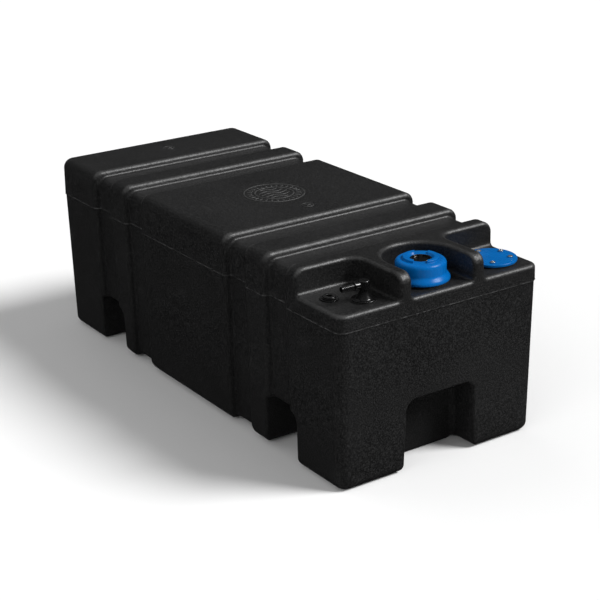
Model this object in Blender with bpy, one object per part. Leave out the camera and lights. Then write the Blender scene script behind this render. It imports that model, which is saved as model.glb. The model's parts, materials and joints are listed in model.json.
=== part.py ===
"""Fresh water tank: a hollow moulded body with a filler cap, a sender cover and an outlet elbow.

Metres, +Z up. The origin is the centre of the footprint, on the surface the tank stands on.
The length runs along Y, with the fittings at the -Y end.
"""
import math

import bmesh
import bpy

# --- Body ---------------------------------------------------------------------------------
LENGTH = 0.8095
WIDTH = 0.350
HEIGHT = 0.2956
WALL = 0.0052
DRAFT = 0.0124            # side lean, metres per metre of height away from the parting line
PARTING_DROP = 0.0615     # top of the tank down to the parting line
FRONT_RADIUS = 0.016      # vertical and top edges at the fittings' end
REAR_RADIUS = 0.021       # vertical and top edges at the far end
TOP_RADIUS = 0.017        # long top edges
FOOT_EDGE_RADIUS = 0.012  # long bottom edges of the two end feet
BELLY_RADIUS = 0.021      # long bottom edges between the strap notches
SMALLEST_RADIUS = 0.002

# --- Strap grooves over the top, down the sides and under the bottom -------------------------
GROOVES_FROM_FRONT = (0.1546, 0.2581)
GROOVES_FROM_REAR = (0.1525, 0.2525)
GROOVE_WIDTH = 0.0502
GROOVE_CONVEX = 0.0075
GROOVE_CONCAVE = 0.0024
GROOVE_LEAN = 0.0005
GROOVE_TOP_DEPTH = 0.0105
GROOVE_SIDE_DEPTH = 0.010
GROOVE_BOTTOM_DEPTH = 0.005

# --- Strap notches under the outer grooves, and the hand hold in the front face --------------
NOTCH_AHEAD = 0.0435      # groove's centre line forward to the notch's front wall
NOTCH_BEHIND = 0.0330     # groove's centre line back to the notch's rear wall
NOTCH_HEIGHT = 0.079
NOTCH_FRONT_RADIUS = 0.016
NOTCH_REAR_RADIUS = 0.005
FOOT_RADIUS = 0.017
HOLD_BOTTOM_WIDTH = 0.126
HOLD_TOP_WIDTH = 0.118
HOLD_HEIGHT = 0.1075
HOLD_DEPTH = 0.051
HOLD_RADIUS = 0.015

# --- Lower deck with three bays ----------------------------------------------------------------
DECK_DROP = 0.0371        # top of the tank down to the deck
BAY_LENGTH = 0.1025       # front face back to the bays' rear wall
CAP_FINGER_ROOM = 0.0124  # cap's skirt to the wall of the round middle bay
BAY_CORNER = 0.022
BAY_FILLET = 0.005
BAY_LIP = 0.004
LEFT_DIVIDER = 0.020
RIGHT_DIVIDER = 0.0195
CAP_FROM_FRONT = 0.0515

# --- Clearances ---------------------------------------------------------------------------------
GAP = 0.0003              # between pieces that touch
RUN = 0.0005              # between pieces that turn on each other

# --- Filler neck and cap -------------------------------------------------------------------------
NECK_RADIUS = 0.0305
NECK_WALL = 0.004
NECK_FLANGE_REACH = 0.009 # flange's edge beyond the neck
NECK_FLANGE_THICKNESS = 0.0014
NECK_RISE = 0.0235        # deck up to the neck's rim
NECK_TAIL = 0.022         # deck down to the neck's lower end
NECK_GASKET = 0.0010
NECK_NUT_REACH = 0.008    # nut's edge beyond the neck
NECK_NUT_THICKNESS = 0.010
CAP_SEAL = 0.0025
CAP_FOOT = 0.0032         # deck up to the skirt's lower edge
CAP_THREAD_ROOM = 0.002   # neck to the inside of the cap's wall
CAP_WALL = 0.0031
CAP_FLARE = 0.0055        # skirt's edge beyond the cap's wall
CAP_SKIRT_RIM = 0.003     # height of the skirt's upright edge
CAP_SKIRT_BEND = 0.0075   # foot up to where the flare turns steep
CAP_SKIRT_TOP = 0.011     # foot up to the end of the flare
CAP_BEND_REACH = 0.0015
CAP_SHOULDER = 0.006
CAP_TOP = 0.0315          # deck up to the cap's flat top
CAP_CROWN = 0.003
COLLAR_INSET = 0.0102     # cap's side in to the collar
COLLAR_WIDTH = 0.0069
COLLAR_HEIGHT = 0.0036
COLLAR_SLOT = 0.018
COLLAR_SLOT_ANGLE = math.radians(50)
VENT_RADIUS = 0.0150
VENT_PROUD = 0.0006       # vent's rim above the cap's flat top
VENT_DEPTH = 0.0063
VENT_WALL = 0.0022
VENT_RECESS = 0.0026
VENT_WEB = 0.0012
VENT_PORT = 0.003
VENT_BAR = 0.0044
VENT_FILTER = 0.0018

# --- Sender cover ---------------------------------------------------------------------------------
SENDER_FROM_DIVIDER = 0.055
SENDER_FROM_FRONT = 0.052
SENDER_RADIUS = 0.0372
SENDER_THICKNESS = 0.0040
SENDER_EDGE = 0.0014
SENDER_SPIGOT = 0.0175
SENDER_SPIGOT_LENGTH = 0.004
SENDER_GASKET = 0.0014
BOLT_EDGE = 0.0102         # screws' centres in from the cover's rim
GASKET_INSET = 0.001      # cover's rim in to the gasket's edge
BOLT_ANGLES = (90, 18, -42, -126, 162)    # one hole is out of step, so the cover fits one way round
SCREW_SHANK = 0.0019
SCREW_HEAD = 0.0038
SCREW_HEAD_HEIGHT = 0.0024
INSERT_WALL = 0.0012

# --- Outlet fitting ---------------------------------------------------------------------------------
OUTLET_FROM_DIVIDER = 0.0355
OUTLET_FROM_FRONT = 0.0352
OUTLET_FLANGE_REACH = 0.0058   # flange's edge beyond the cone
OUTLET_FLANGE_THICKNESS = 0.0016
OUTLET_STEM = 0.0062
OUTLET_CONE_REACH = 0.0055 # cone's foot beyond the stem
OUTLET_CONE_WAIST = 0.0026
OUTLET_CONE_HEIGHT = 0.0150
OUTLET_TAIL_REACH = 0.0036
OUTLET_TAIL = 0.020
OUTLET_BORE = 0.0032
OUTLET_GASKET = 0.0012
OUTLET_NUT_REACH = 0.0057 # nut's corners beyond the tail
OUTLET_NUT_THICKNESS = 0.007
ELBOW_WALL = 0.0011
ELBOW_CHAMFER = 0.0016
ELBOW_FOOT_CHAMFER = 0.0006
ELBOW_ROOF = 0.0018
ELBOW_START = 0.0165      # deck up to the elbow's lower edge
ELBOW_TOP = 0.0275
BARB_HEIGHT = 0.0230      # deck up to the barb's centre line
BARB_REACH = 0.0375
BARB_RADIUS = 0.0038
BARB_RIDGE = 0.0047
BARB_RIDGES = 3
BARB_PITCH = 0.0058
BARB_STEP = 0.0004        # length of a ridge's steep side
BARB_END = 0.0015         # last ridge to the barb's end
BARB_TIP = 0.0034
BARB_SLEEVE = 0.0042
BARB_COLLAR = 0.0060
BARB_COLLAR_ROOM = 0.0072 # elbow to the collar
BARB_COLLAR_WIDTH = 0.002
BARB_BORE = 0.0026
ORING_THICKNESS = 0.0012
ORING_INSET = 0.0006
BUTTON_RADIUS = 0.0032
BUTTON_OVERLAP = 0.0012
BUTTON_HEIGHT = 0.0012
DIP_RADIUS = 0.0058
DIP_BORE = 0.0044
DIP_SOCKET = 0.010
STRAINER_RADIUS = 0.0110
STRAINER_HEIGHT = 0.024
STRAINER_WALL = 0.0018
STRAINER_CLEARANCE = 0.002
STRAINER_SLOTS = 6
STRAINER_SLOT_WIDTH = 0.0028
STRAINER_SLOT_FOOT = 0.0035
STRAINER_SEAT = 0.008     # lip down to the ledge that the tube stands on
STRAINER_LEDGE = 0.002

# --- Blanking plug -----------------------------------------------------------------------------------
PLUG_FROM_DIVIDER = 0.0701
PLUG_FROM_FRONT = 0.0663
PLUG_RADIUS = 0.0066
PLUG_HEAD_REACH = 0.0028  # head's edge beyond the shank
PLUG_HEAD_HEIGHT = 0.0018
PLUG_CHAMFER = 0.0008
PLUG_ORING = 0.0009
PLUG_ORING_INSET = 0.0006
PLUG_SOCKET_FLOOR = 0.001 # socket's floor below the underside of the head
BUSH_WALL = 0.0021
BUSH_FLANGE_REACH = 0.0034     # flange's edge beyond the plug's head
BUSH_FLANGE_THICKNESS = 0.0014
BUSH_TAIL = 0.004         # bush's end below the inside of the deck
PLUG_TAIL = 0.003
PLUG_SOCKET = 0.0046

# --- Mark on the lid --------------------------------------------------------------------------------
BADGE_RADIUS = 0.0525
BADGE_DEPTH = 0.0008
BADGE_OFFSET = 0.009

# --- Worked out from the sizes above ---------------------------------------------------------------
FRONT = -LENGTH / 2
REAR = LENGTH / 2
DECK = HEIGHT - DECK_DROP
PARTING = HEIGHT - PARTING_DROP
GROOVE_CENTRES = tuple(sorted(
    [FRONT + distance for distance in GROOVES_FROM_FRONT]
    + [REAR - distance for distance in GROOVES_FROM_REAR]))
NOTCH_CENTRES = (GROOVE_CENTRES[0], GROOVE_CENTRES[-1])
GROOVE_DEEPEST = max(GROOVE_TOP_DEPTH, GROOVE_SIDE_DEPTH)
NECK_BORE = NECK_RADIUS - NECK_WALL
NECK_FLANGE = NECK_RADIUS + NECK_FLANGE_REACH
NECK_NUT_RADIUS = NECK_RADIUS + NECK_NUT_REACH
CAP_INNER = NECK_RADIUS + CAP_THREAD_ROOM
CAP_RADIUS = CAP_INNER + CAP_WALL
CAP_SKIRT = CAP_RADIUS + CAP_FLARE
COLLAR_OUTER = CAP_RADIUS - COLLAR_INSET
COLLAR_INNER = COLLAR_OUTER - COLLAR_WIDTH
BOLT_CIRCLE = SENDER_RADIUS - BOLT_EDGE
OUTLET_CONE = OUTLET_STEM + OUTLET_CONE_REACH
OUTLET_FLANGE = OUTLET_CONE + OUTLET_FLANGE_REACH
OUTLET_TAIL_RADIUS = OUTLET_STEM + OUTLET_TAIL_REACH
OUTLET_NUT_RADIUS = OUTLET_TAIL_RADIUS + OUTLET_NUT_REACH
ELBOW_RADIUS = OUTLET_STEM + RUN + ELBOW_WALL
PLUG_HEAD = PLUG_RADIUS + PLUG_HEAD_REACH
BUSH_RADIUS = PLUG_RADIUS + GAP + BUSH_WALL
BUSH_FLANGE = PLUG_HEAD + BUSH_FLANGE_REACH
BAY_BACK = FRONT + BAY_LENGTH
BAY_RADIUS = CAP_SKIRT + CAP_FINGER_ROOM
LEFT_BAY_EDGE = -(BAY_RADIUS + LEFT_DIVIDER)
RIGHT_BAY_EDGE = BAY_RADIUS + RIGHT_DIVIDER
CAP_AXIS = (0.0, FRONT + CAP_FROM_FRONT, DECK)
SENDER_AXIS = (RIGHT_BAY_EDGE + SENDER_FROM_DIVIDER, FRONT + SENDER_FROM_FRONT, DECK)
OUTLET_AXIS = (LEFT_BAY_EDGE - OUTLET_FROM_DIVIDER, FRONT + OUTLET_FROM_FRONT, DECK)
PLUG_AXIS = (LEFT_BAY_EDGE - PLUG_FROM_DIVIDER, FRONT + PLUG_FROM_FRONT, DECK)
BEYOND = 0.03             # how far a cutter runs past the face it opens


def clear_scene():
    """Empty the scene."""
    for item in list(bpy.data.objects):
        bpy.data.objects.remove(item, do_unlink=True)


def material(name, colour, roughness, metallic=0.0):
    """Principled material with a plain colour."""
    made = bpy.data.materials.new(name)
    made.use_nodes = True
    shader = made.node_tree.nodes["Principled BSDF"]
    shader.inputs["Base Color"].default_value = (*colour, 1.0)
    shader.inputs["Roughness"].default_value = roughness
    shader.inputs["Metallic"].default_value = metallic
    return made


def finish(name, bm, finish_material, place=(0.0, 0.0, 0.0)):
    """Turn a bmesh into a smooth-shaded object at a place."""
    bmesh.ops.recalc_face_normals(bm, faces=bm.faces)
    mesh = bpy.data.meshes.new(name)
    bm.to_mesh(mesh)
    bm.free()
    mesh.shade_smooth()
    mesh.set_sharp_from_angle(angle=math.radians(35))
    made = bpy.data.objects.new(name, mesh)
    made.location = place
    bpy.context.scene.collection.objects.link(made)
    if finish_material is not None:
        mesh.materials.append(finish_material)
    return made


def cutter(item):
    """Hide an object that only shapes another."""
    item.hide_render = True
    item.display_type = "WIRE"
    return item


def combine(item, other, operation):
    """Cut an object with another, or join the two."""
    step = item.modifiers.new(operation.title(), "BOOLEAN")
    step.operation = operation
    step.solver = "EXACT"
    step.object = cutter(other)


def cap_flat(bm, loop):
    """Close an end with one face."""
    bm.faces.new(loop)


def cap_strips(bm, loop):
    """Close a symmetrical end with strips from side to side, because the draft bends it."""
    for index in range(len(loop) // 2 - 1):
        bm.faces.new((loop[index], loop[index + 1], loop[-2 - index], loop[-1 - index]))


def skin_rings(rings, close_end=cap_flat):
    """Closed bmesh through a row of rings that all have the same number of points."""
    bm = bmesh.new()
    loops = [[bm.verts.new(point) for point in ring] for ring in rings]
    count = len(rings[0])
    for lower, upper in zip(loops, loops[1:]):
        for index in range(count):
            after = (index + 1) % count
            bm.faces.new((lower[index], lower[after], upper[after], upper[index]))
    for loop in (loops[0], loops[-1]):
        close_end(bm, loop)
    return bm


def turned(name, outline, finish_material, place=(0.0, 0.0, 0.0), sides=32):
    """Solid of revolution about Z. The outline is (radius, height) points, closed if off the axis."""
    bm = bmesh.new()
    points = [bm.verts.new((radius, 0.0, height)) for radius, height in outline]
    edges = [bm.edges.new(pair) for pair in zip(points, points[1:])]
    if outline[0][0] > 0.0 or outline[-1][0] > 0.0:
        edges.append(bm.edges.new((points[-1], points[0])))
    bmesh.ops.spin(bm, geom=points + edges, cent=(0, 0, 0), axis=(0, 0, 1),
                   angle=2 * math.pi, steps=sides, use_merge=True)
    bmesh.ops.remove_doubles(bm, verts=bm.verts, dist=1e-6)
    return finish(name, bm, finish_material, place)


def ring(name, inner, outer, low, high, finish_material, place=(0.0, 0.0, 0.0), sides=32):
    """Plain flat ring."""
    outline = [(inner, low), (outer, low), (outer, high), (inner, high)]
    return turned(name, outline, finish_material, place, sides)


def rod(name, radius, low, high, place=(0.0, 0.0, 0.0), sides=32, finish_material=None):
    """Plain round bar about Z."""
    outline = [(0.0, low), (radius, low), (radius, high), (0.0, high)]
    return turned(name, outline, finish_material, place, sides)


def box(name, low, high, place=(0.0, 0.0, 0.0), turn=0.0):
    """Box between two corners."""
    bm = bmesh.new()
    bmesh.ops.create_cube(bm, size=1.0)
    for vert in bm.verts:
        vert.co = [low[axis] + (vert.co[axis] + 0.5) * (high[axis] - low[axis]) for axis in range(3)]
    made = finish(name, bm, None, place)
    made.rotation_euler = (0.0, 0.0, turn)
    return made


def arc(centre, radius, start, end, steps):
    """Points of an arc, in degrees, both ends included."""
    angles = [math.radians(start + (end - start) * step / steps) for step in range(steps + 1)]
    return [(centre[0] + radius * math.cos(angle), centre[1] + radius * math.sin(angle))
            for angle in angles]


# --- Moulded body ------------------------------------------------------------------------------------

def groove_side(offset, convex_steps, concave_steps):
    """One side of a groove, from the block inwards: (distance from the centre line, share of depth)."""
    wall = GROOVE_WIDTH / 2 + offset
    convex = max(GROOVE_CONVEX - offset, SMALLEST_RADIUS)
    concave = GROOVE_CONCAVE + offset
    points = []
    for step in range(convex_steps + 1):
        angle = math.pi / 2 * step / convex_steps
        depth = convex * (1 - math.cos(angle))
        points.append((wall + convex * (1 - math.sin(angle)), depth / GROOVE_DEEPEST))
    for step in range(concave_steps + 1):
        angle = math.pi / 2 * step / concave_steps
        depth = GROOVE_DEEPEST - concave * (1 - math.sin(angle))
        points.append((wall - GROOVE_LEAN - concave * (1 - math.cos(angle)), depth / GROOVE_DEEPEST))
    return points


def end_curve(radius, steps):
    """Rounded end: (distance along from the end face, inset), from the face inwards."""
    quarter = [math.pi / 2 * step / steps for step in range(steps + 1)]
    return [(radius * (1 - math.cos(angle)), radius * (1 - math.sin(angle))) for angle in quarter]


def body_stations(offset, steps):
    """Places along Y, each with the inset of the rounded ends and the share of groove depth there."""
    end_steps, convex_steps, concave_steps = steps
    front = end_curve(FRONT_RADIUS - offset, end_steps)
    rear = end_curve(REAR_RADIUS - offset, end_steps)
    side = groove_side(offset, convex_steps, concave_steps)
    stations = [(FRONT + offset + along, inset, 0.0) for along, inset in front]
    for centre in GROOVE_CENTRES:
        stations += [(centre - distance, 0.0, share) for distance, share in side]
        stations += [(centre + distance, 0.0, share) for distance, share in reversed(side)]
    return stations + [(REAR - offset - along, inset, 0.0) for along, inset in reversed(rear)]


def body_ring(station, offset, corner_steps):
    """Outline of the body at one place along Y, with the moulding's draft."""
    y, inset, share = station
    side = offset + inset + GROOVE_SIDE_DEPTH * share
    top = offset + inset + GROOVE_TOP_DEPTH * share
    bottom = offset + inset + GROOVE_BOTTOM_DEPTH * share
    edge = BELLY_RADIUS if NOTCH_CENTRES[0] < y < NOTCH_CENTRES[1] else FOOT_EDGE_RADIUS
    half = WIDTH / 2 - side
    high = HEIGHT - top
    upper = max(TOP_RADIUS - offset - inset - 0.5 * GROOVE_TOP_DEPTH * share, SMALLEST_RADIUS)
    lower = max(edge - offset - inset - 0.5 * GROOVE_BOTTOM_DEPTH * share, SMALLEST_RADIUS)
    outline = arc((half - lower, bottom + lower), lower, -90, 0, corner_steps)
    outline.append((half, PARTING))
    outline += arc((half - upper, high - upper), upper, 0, 90, corner_steps)
    outline += [(-x, z) for x, z in reversed(outline)]
    points = []
    for x, z in outline:
        lean = DRAFT * abs(z - PARTING)
        points.append((x * (1 - 2 * lean / WIDTH), y * (1 - 2 * lean / LENGTH), z))
    return points


def body_solid(name, offset, finish_material, steps, corner_steps):
    """The tank's outer form, drawn in by an offset."""
    rings = [body_ring(station, offset, corner_steps) for station in body_stations(offset, steps)]
    return finish(name, skin_rings(rings, cap_strips), finish_material)


def side_bay_outline(edge, offset, steps=3):
    """Outline of a bay that is open at the front and at one side; edge is its divider wall."""
    side = 1 if edge < 0 else -1
    far = -side * (WIDTH / 2 + BEYOND)
    near = edge + side * offset
    back = BAY_BACK + offset
    corner = BAY_CORNER + offset
    outline = [(far, FRONT - BEYOND), (near, FRONT - BEYOND)]
    turn = (0, 90) if side > 0 else (180, 90)
    outline += arc((near - side * corner, back - corner), corner, turn[0], turn[1], steps)
    outline.append((far, back))
    return outline


def middle_bay_outline(offset, steps=12):
    """Outline of the round bay round the filler, open at the front."""
    radius = BAY_RADIUS + offset
    outline = [(-radius, FRONT - BEYOND), (radius, FRONT - BEYOND)]
    return outline + arc((CAP_AXIS[0], CAP_AXIS[1]), radius, 0, 180, steps)


def step_outline(offset):
    """Outline of the whole lower deck, for the cavity: the narrow dividers are moulded solid."""
    side = WIDTH / 2 + BEYOND
    back = BAY_BACK + offset
    return [(-side, FRONT - BEYOND), (side, FRONT - BEYOND), (side, back), (-side, back)]


def pocket(name, outline, grow):
    """Cutter for a bay. The floor has a fillet, and the top edge flares to a rounded lip."""
    steps = 2
    levels = []
    for step in range(steps + 1):
        angle = math.pi / 2 * step / steps
        height = DECK - grow + BAY_FILLET * (1 - math.cos(angle))
        levels.append((height, grow - BAY_FILLET * (1 - math.sin(angle))))
    if grow == 0.0:
        for step in range(steps + 1):
            angle = math.pi / 2 * step / steps
            levels.append((HEIGHT - BAY_LIP + BAY_LIP * math.sin(angle), BAY_LIP * (1 - math.cos(angle))))
    levels.append((HEIGHT + BEYOND, levels[-1][1]))
    rings = [[(x, y, z) for x, y in outline(offset)] for z, offset in levels]
    return finish(name, skin_rings(rings), None)


def foot_curve(across, grow, steps=3):
    """Rounded foot beside an opening; the cavity keeps a straight side there."""
    if grow > 0.0:
        return [(across, -BEYOND)]
    centre = (across + FOOT_RADIUS, FOOT_RADIUS)
    return [(centre[0], -BEYOND)] + arc(centre, FOOT_RADIUS, -90, -180, steps)


def crown_curve(across, roof, radius, steps=3):
    """Rounded top corner of an opening."""
    return arc((across - radius, roof - radius), radius, 0, 90, steps)


def mirrored(points):
    """The same points on the other side, in the opposite order."""
    return [(-across, z) for across, z in reversed(points)]


def notch_cutter(name, centre, grow):
    """Cutter for a strap notch, right across under the body."""
    reach = WIDTH / 2 + BEYOND
    roof = NOTCH_HEIGHT + grow
    behind = foot_curve(NOTCH_BEHIND + grow, grow)
    behind += crown_curve(NOTCH_BEHIND + grow, roof, NOTCH_REAR_RADIUS + grow)
    ahead = foot_curve(NOTCH_AHEAD + grow, grow)
    ahead += crown_curve(NOTCH_AHEAD + grow, roof, NOTCH_FRONT_RADIUS + grow)
    outline = behind + mirrored(ahead)
    rings = [[(x, centre + across, z) for across, z in outline] for x in (-reach, reach)]
    return finish(name, skin_rings(rings), None)


def hold_cutter(name, grow):
    """Cutter for the hand hold in the front face."""
    half = foot_curve(HOLD_BOTTOM_WIDTH / 2 + grow, grow)
    half += crown_curve(HOLD_TOP_WIDTH / 2 + grow, HOLD_HEIGHT + grow, HOLD_RADIUS + grow)
    outline = half + mirrored(half)
    ends = (FRONT - BEYOND, FRONT + HOLD_DEPTH + grow)
    rings = [[(across, y, z) for across, z in outline] for y in ends]
    return finish(name, skin_rings(rings), None)


def left_bay_outline(offset):
    """Outline of the bay round the outlet."""
    return side_bay_outline(LEFT_BAY_EDGE, offset)


def right_bay_outline(offset):
    """Outline of the bay round the sender cover."""
    return side_bay_outline(RIGHT_BAY_EDGE, offset)


def hollow_cutters(stem, outlines, grow):
    """Every cutter that shapes the body, grown by a wall where the cavity has to keep clear."""
    made = [pocket("%s_bay_%d" % (stem, index + 1), outline, grow) for index, outline in enumerate(outlines)]
    made.append(hold_cutter(stem + "_hold", grow))
    for index, centre in enumerate(NOTCH_CENTRES):
        made.append(notch_cutter("%s_notch_%d" % (stem, index + 1), centre, grow))
    return made


def bolt_places():
    """Centres of the sender cover's screws, measured from its axis."""
    return [(BOLT_CIRCLE * math.cos(math.radians(angle)), BOLT_CIRCLE * math.sin(math.radians(angle)))
            for angle in BOLT_ANGLES]


def build_shell(polyethylene):
    """The moulded body: outer form, less bays and notches, less the cavity, less the fitting holes."""
    bays = (left_bay_outline, right_bay_outline, middle_bay_outline)
    shell = body_solid("tank_shell", 0.0, polyethylene, (3, 3, 2), 3)
    for item in hollow_cutters("cut", bays, 0.0):
        combine(shell, item, "DIFFERENCE")
    cavity = body_solid("cut_cavity", WALL, None, (2, 1, 2), 2)
    for item in hollow_cutters("keep", (step_outline, middle_bay_outline), WALL):
        combine(cavity, item, "DIFFERENCE")
    combine(shell, cavity, "DIFFERENCE")
    low = -WALL - BEYOND / 3
    high = BEYOND / 3
    holes = [
        rod("cut_neck_hole", NECK_RADIUS + GAP, low, high, CAP_AXIS, 48),
        rod("cut_sender_hole", SENDER_SPIGOT + GAP, low, high, SENDER_AXIS),
        rod("cut_outlet_hole", OUTLET_TAIL_RADIUS + GAP, low, high, OUTLET_AXIS, 24),
        rod("cut_plug_hole", BUSH_RADIUS + GAP, low, high, PLUG_AXIS, 24),
    ]
    for index, (x, y) in enumerate(bolt_places()):
        place = (SENDER_AXIS[0] + x, SENDER_AXIS[1] + y, DECK)
        radius = SCREW_SHANK + GAP + INSERT_WALL + GAP
        holes.append(rod("cut_insert_%d" % (index + 1), radius, low, high, place, 12))
    badge = (0.0, BADGE_OFFSET, HEIGHT)
    holes.append(rod("cut_badge", BADGE_RADIUS, -BADGE_DEPTH, high, badge, 48))
    for item in holes:
        combine(shell, item, "DIFFERENCE")


# --- Filler ------------------------------------------------------------------------------------------

def build_neck(black, rubber):
    """Flanged filler neck, clamped to the deck by a ring nut from inside."""
    under = NECK_GASKET + 2 * GAP
    over = under + NECK_FLANGE_THICKNESS
    turned("filler_neck", [
        (NECK_BORE, -NECK_TAIL), (NECK_RADIUS, -NECK_TAIL), (NECK_RADIUS, under), (NECK_FLANGE, under),
        (NECK_FLANGE, over), (NECK_RADIUS, over), (NECK_RADIUS, NECK_RISE), (NECK_BORE, NECK_RISE),
    ], black, CAP_AXIS, 48)
    ring("neck_gasket", NECK_RADIUS + GAP, NECK_FLANGE, GAP, GAP + NECK_GASKET, rubber, CAP_AXIS, 40)
    high = -WALL - GAP
    ring("neck_nut", NECK_RADIUS + GAP, NECK_NUT_RADIUS, high - NECK_NUT_THICKNESS, high,
         black, CAP_AXIS, 40)


def build_cap(blue, black, rubber, foam):
    """Screw cap with a flared skirt, a slotted collar and a breather."""
    bend = [(CAP_RADIUS - CAP_SHOULDER + across, CAP_TOP - CAP_SHOULDER + up)
            for across, up in arc((0.0, 0.0), CAP_SHOULDER, 0, 90, 3)]
    roof = CAP_TOP - CAP_CROWN
    cap = turned("filler_cap", [
        (CAP_INNER, CAP_FOOT), (CAP_SKIRT, CAP_FOOT), (CAP_SKIRT, CAP_FOOT + CAP_SKIRT_RIM),
        (CAP_RADIUS + CAP_BEND_REACH, CAP_FOOT + CAP_SKIRT_BEND), (CAP_RADIUS, CAP_FOOT + CAP_SKIRT_TOP), *bend,
        (COLLAR_OUTER, CAP_TOP), (COLLAR_OUTER, CAP_TOP + COLLAR_HEIGHT),
        (COLLAR_INNER, CAP_TOP + COLLAR_HEIGHT), (VENT_RADIUS + GAP, CAP_TOP),
        (VENT_RADIUS + GAP, roof), (CAP_INNER, roof),
    ], blue, CAP_AXIS, 48)
    reach = CAP_RADIUS + BEYOND
    slot = box("cut_collar_slot", (-reach, -COLLAR_SLOT / 2, CAP_TOP + GAP),
               (reach, COLLAR_SLOT / 2, CAP_TOP + BEYOND), CAP_AXIS, COLLAR_SLOT_ANGLE)
    combine(cap, slot, "DIFFERENCE")
    low = NECK_RISE + GAP
    ring("cap_seal", NECK_BORE, CAP_INNER - RUN, low, low + CAP_SEAL, rubber, CAP_AXIS, 40)
    build_vent(black, foam)


def build_vent(black, foam):
    """Breather insert in the cap's crown, with its dust filter."""
    top = CAP_TOP + VENT_PROUD
    web = top - VENT_RECESS
    under = web - VENT_WEB
    low = top - VENT_DEPTH
    inner = VENT_RADIUS - VENT_WALL
    vent = turned("vent_insert", [
        (VENT_PORT, under), (inner, under), (inner, low), (VENT_RADIUS, low),
        (VENT_RADIUS, top), (inner, top), (inner, web), (VENT_PORT, web),
    ], black, CAP_AXIS, 32)
    reach = inner + VENT_WALL / 2
    bar = box("join_vent_bar", (-reach, -VENT_BAR / 2, web - VENT_WEB / 2),
              (reach, VENT_BAR / 2, top - GAP), CAP_AXIS, COLLAR_SLOT_ANGLE)
    combine(vent, bar, "UNION")
    high = under - GAP
    rod("vent_filter", inner - GAP, high - VENT_FILTER, high, CAP_AXIS, 24, foam)


# --- Sender cover -----------------------------------------------------------------------------------

def build_sender(blue, rubber, steel, brass):
    """Blank cover over the level-sender opening, with its gasket, screws and threaded inserts."""
    seat = SENDER_GASKET + 2 * GAP
    top = seat + SENDER_THICKNESS
    rim = [(SENDER_RADIUS - SENDER_EDGE + across, top - SENDER_EDGE + up)
           for across, up in arc((0.0, 0.0), SENDER_EDGE, 0, 90, 2)]
    plate = turned("sender_plate", [
        (0.0, -SENDER_SPIGOT_LENGTH), (SENDER_SPIGOT, -SENDER_SPIGOT_LENGTH), (SENDER_SPIGOT, seat),
        (SENDER_RADIUS, seat), *rim, (0.0, top),
    ], blue, SENDER_AXIS, 40)
    gasket = ring("sender_gasket", SENDER_SPIGOT + GAP, SENDER_RADIUS - GASKET_INSET, GAP, GAP + SENDER_GASKET,
                  rubber, SENDER_AXIS, 40)
    for index, (x, y) in enumerate(bolt_places()):
        number = index + 1
        place = (SENDER_AXIS[0] + x, SENDER_AXIS[1] + y, DECK)
        hole = rod("cut_screw_%d" % number, SCREW_SHANK + GAP, -BEYOND, BEYOND, place, 12)
        combine(plate, hole, "DIFFERENCE")
        combine(gasket, hole, "DIFFERENCE")
        head = top + GAP
        crown = head + SCREW_HEAD_HEIGHT
        turned("sender_screw_%d" % number, [
            (0.0, -WALL), (SCREW_SHANK, -WALL), (SCREW_SHANK, head), (SCREW_HEAD, head),
            (SCREW_HEAD, head + 0.4 * SCREW_HEAD_HEIGHT), (0.7 * SCREW_HEAD, crown), (0.0, crown),
        ], steel, place, 12)
        ring("sender_insert_%d" % number, SCREW_SHANK + GAP, SCREW_SHANK + GAP + INSERT_WALL,
             -WALL, -GAP, brass, place, 12)


# --- Outlet -----------------------------------------------------------------------------------------

def build_outlet(black, rubber, clear_plastic):
    """Flanged outlet stem with a suction tube below and a swivel hose elbow above."""
    seat = OUTLET_GASKET + 2 * GAP
    ledge = seat + OUTLET_FLANGE_THICKNESS
    cone_top = ledge + OUTLET_CONE_HEIGHT - OUTLET_FLANGE_THICKNESS
    groove_low = ELBOW_START + ORING_INSET
    groove_high = groove_low + ORING_THICKNESS + 2 * GAP
    groove_floor = OUTLET_STEM - ORING_THICKNESS
    stem_top = BARB_HEIGHT - OUTLET_BORE
    socket = DIP_RADIUS + GAP
    turned("outlet_base", [
        (socket, -OUTLET_TAIL), (OUTLET_TAIL_RADIUS, -OUTLET_TAIL), (OUTLET_TAIL_RADIUS, seat),
        (OUTLET_FLANGE, seat), (OUTLET_FLANGE, ledge), (OUTLET_CONE, ledge),
        (OUTLET_STEM + OUTLET_CONE_WAIST, ledge + 0.55 * (cone_top - ledge)), (OUTLET_STEM, cone_top),
        (OUTLET_STEM, groove_low), (groove_floor, groove_low), (groove_floor, groove_high),
        (OUTLET_STEM, groove_high), (OUTLET_STEM, stem_top), (OUTLET_BORE, stem_top),
        (OUTLET_BORE, -OUTLET_TAIL + DIP_SOCKET), (socket, -OUTLET_TAIL + DIP_SOCKET),
    ], black, OUTLET_AXIS, 24)
    ring("outlet_gasket", OUTLET_TAIL_RADIUS + GAP, OUTLET_FLANGE, GAP, GAP + OUTLET_GASKET,
         rubber, OUTLET_AXIS, 24)
    high = -WALL - GAP
    nut = rod("outlet_nut", OUTLET_NUT_RADIUS, high - OUTLET_NUT_THICKNESS, high, OUTLET_AXIS, 6, black)
    thread = rod("cut_outlet_nut", OUTLET_TAIL_RADIUS + GAP, -BEYOND, BEYOND, OUTLET_AXIS, 24)
    combine(nut, thread, "DIFFERENCE")
    ring("elbow_oring", groove_floor + GAP, OUTLET_STEM + GAP, groove_low + GAP,
         groove_low + GAP + ORING_THICKNESS, rubber, OUTLET_AXIS, 24)
    build_elbow(black, stem_top)
    build_dip_tube(black, clear_plastic)


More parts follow.
